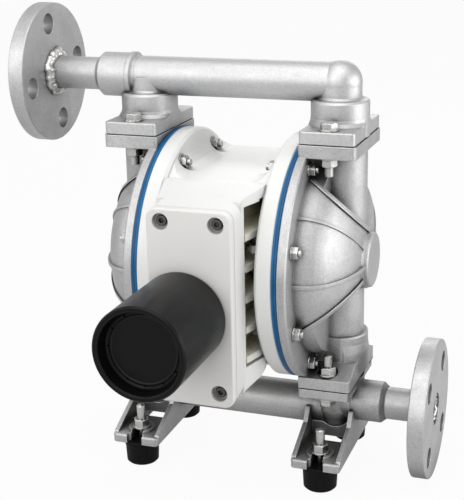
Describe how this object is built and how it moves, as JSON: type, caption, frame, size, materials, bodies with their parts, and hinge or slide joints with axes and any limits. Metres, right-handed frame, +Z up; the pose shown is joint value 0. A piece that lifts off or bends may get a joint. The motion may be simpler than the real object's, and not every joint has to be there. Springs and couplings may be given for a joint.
{
  "type": "air operated diaphragm pump",
  "caption": "Air operated double diaphragm pump with ribbed domed chambers, flanged inlet and outlet pipes, a front air valve with round muffler, and rubber feet.",
  "frame": {"origin": "on the floor, at the centre of the four rubber feet, under the middle of the diaphragm shaft", "axes": "+X along the diaphragm shaft to the side with the suction flange, -Y to the front with the air valve and muffler, +Z up"},
  "size_m": [0.373, 0.332, 0.415],
  "materials": {
    "white_paint": "satin",
    "cover_paint": "satin",
    "cast_stainless": "satin",
    "flange_stainless": "satin",
    "fastener_stainless": "gloss",
    "weld_metal": "gloss",
    "foot_rubber": "matte",
    "diaphragm_blue": "satin",
    "gasket_dark": "matte",
    "muffler_black": "satin",
    "muffler_fibre": "matte",
    "shaft_steel": "gloss",
    "plate_alloy": "satin",
    "bush_resin": "matte",
    "ball_resin": "satin",
    "valve_alloy": "satin"
  },
  "bodies": {
    "pump_body": {"centre_body": "white_paint", "chamber_left": "cast_stainless", "chamber_right": "cast_stainless", "cover_gasket": "gasket_dark", "cover_screws": "fastener_stainless", "diaphragm_left": "diaphragm_blue", "diaphragm_right": "diaphragm_blue", "discharge_bolts": "fastener_stainless", "discharge_flange": "flange_stainless", "discharge_manifold": "cast_stainless", "discharge_nipple": "flange_stainless", "discharge_nuts": "fastener_stainless", "discharge_welds": "weld_metal", "foot_bracket_left": "cast_stainless", "foot_bracket_right": "cast_stainless", "foot_front_left": "foot_rubber", "foot_front_right": "foot_rubber", "foot_inserts": "fastener_stainless", "foot_nuts": "fastener_stainless", "foot_rear_left": "foot_rubber", "foot_rear_right": "foot_rubber", "foot_studs": "fastener_stainless", "gaskets_lower": "gasket_dark", "gaskets_upper": "gasket_dark", "muffler_body": "muffler_black", "muffler_core": "muffler_fibre", "pilot_sleeve": "bush_resin", "ring_bolts_left": "fastener_stainless", "ring_bolts_right": "fastener_stainless", "ring_nuts_left": "fastener_stainless", "ring_nuts_right": "fastener_stainless", "seat_discharge_left": "flange_stainless", "seat_discharge_right": "flange_stainless", "seat_suction_left": "flange_stainless", "seat_suction_right": "flange_stainless", "shaft_bushings": "bush_resin", "shaft_seals": "gasket_dark", "suction_bolts": "fastener_stainless", "suction_flange": "flange_stainless", "suction_manifold": "cast_stainless", "suction_nipple": "flange_stainless", "suction_nuts": "fastener_stainless", "suction_welds": "weld_metal", "valve_cover": "cover_paint", "valve_plug": "valve_alloy", "valve_sleeve": "valve_alloy"},
    "shaft_assembly": {"shaft": "shaft_steel", "inner_plate_right": "plate_alloy", "inner_plate_left": "plate_alloy", "outer_plate_right": "flange_stainless", "outer_plate_left": "flange_stainless", "plate_nut_right": "fastener_stainless", "plate_nut_left": "fastener_stainless"},
    "valve_spool_body": {"valve_spool": "valve_alloy"},
    "pilot_rod_body": {"pilot_rod": "shaft_steel"},
    "ball_suction_right_body": {"ball_suction_right": "ball_resin"},
    "ball_suction_left_body": {"ball_suction_left": "ball_resin"},
    "ball_discharge_right_body": {"ball_discharge_right": "ball_resin"},
    "ball_discharge_left_body": {"ball_discharge_left": "ball_resin"}
  },
  "joints": [
    {"name": "shaft_stroke", "type": "slide", "parent": "pump_body", "child": "shaft_assembly", "axis": [1, 0, 0], "range_m": [-0.008, 0.008], "stiffness_N_per_m": 3000, "deforming": ["diaphragm_right", "diaphragm_left"]},
    {"name": "spool_shift", "type": "slide", "parent": "pump_body", "child": "valve_spool_body", "axis": [0, 0, 1], "range_m": [0, 0.016]},
    {"name": "pilot_shift", "type": "slide", "parent": "pump_body", "child": "pilot_rod_body", "axis": [1, 0, 0], "range_m": [-0.003, 0.003]},
    {"name": "suction_ball_lift_right", "type": "slide", "parent": "pump_body", "child": "ball_suction_right_body", "axis": [0, 0, 1], "range_m": [0, 0.006]},
    {"name": "suction_ball_lift_left", "type": "slide", "parent": "pump_body", "child": "ball_suction_left_body", "axis": [0, 0, 1], "range_m": [0, 0.006]},
    {"name": "discharge_ball_lift_right", "type": "slide", "parent": "pump_body", "child": "ball_discharge_right_body", "axis": [0, 0, 1], "range_m": [0, 0.006]},
    {"name": "discharge_ball_lift_left", "type": "slide", "parent": "pump_body", "child": "ball_discharge_left_body", "axis": [0, 0, 1], "range_m": [0, 0.006]}
  ]
}
